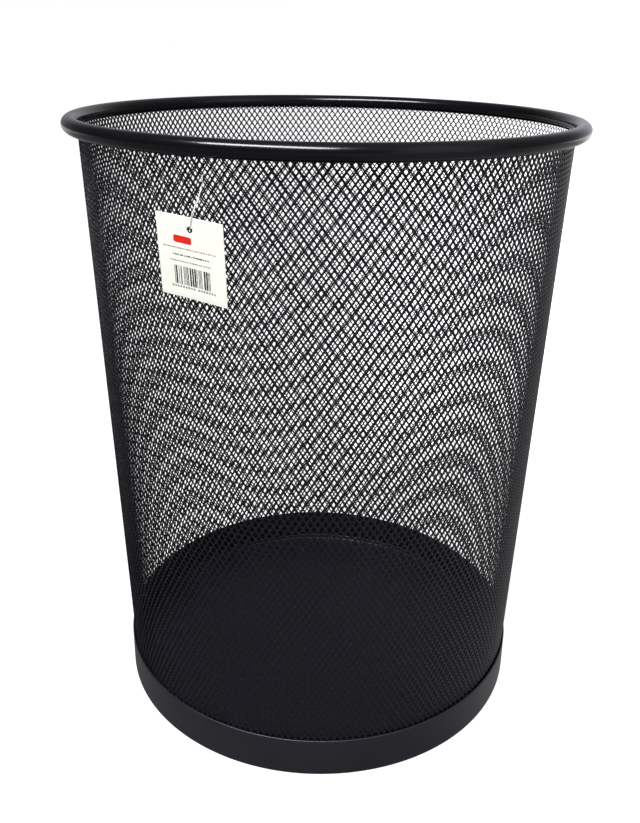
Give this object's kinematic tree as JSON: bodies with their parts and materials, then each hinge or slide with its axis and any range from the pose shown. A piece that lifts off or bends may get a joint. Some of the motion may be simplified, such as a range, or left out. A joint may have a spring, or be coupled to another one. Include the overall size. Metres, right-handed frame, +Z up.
{
  "type": "wire-mesh wastebasket",
  "caption": "Round tapered office wastebasket of black expanded-steel mesh with a rolled tube rim, a smooth steel base band and a paper hang tag on a thread.",
  "frame": {"origin": "centre of the base on the ground plane", "axes": "+Z up along the basket's axis; the hang tag is on the front, -Y, a little towards -X"},
  "size_m": [0.295, 0.295, 0.345],
  "materials": {
    "rim_gloss": "gloss",
    "mesh_coat": "satin",
    "band_coat": "satin",
    "floor_coat": "satin",
    "thread": "matte",
    "card": "matte"
  },
  "bodies": {
    "basket": {"rim_tube": "rim_gloss", "mesh_wall": "mesh_coat", "base_band": "band_coat", "floor_plate": "floor_coat"},
    "string": {"tag_string": "thread"},
    "tag": {"hang_tag": "card"}
  },
  "joints": [
    {"name": "string_swing", "type": "hinge", "parent": "basket", "child": "string", "pos_m": [-0.05415, -0.12695, 0.326], "axis": [-0.9198, 0.3923, 0], "range_deg": [0, 80]},
    {"name": "tag_turn", "type": "hinge", "parent": "string", "child": "tag", "pos_m": [-0.06056, -0.13005, 0.303], "axis": [-0.4696, -0.8628, -0.1874], "range_deg": [-25, 25]}
  ]
}
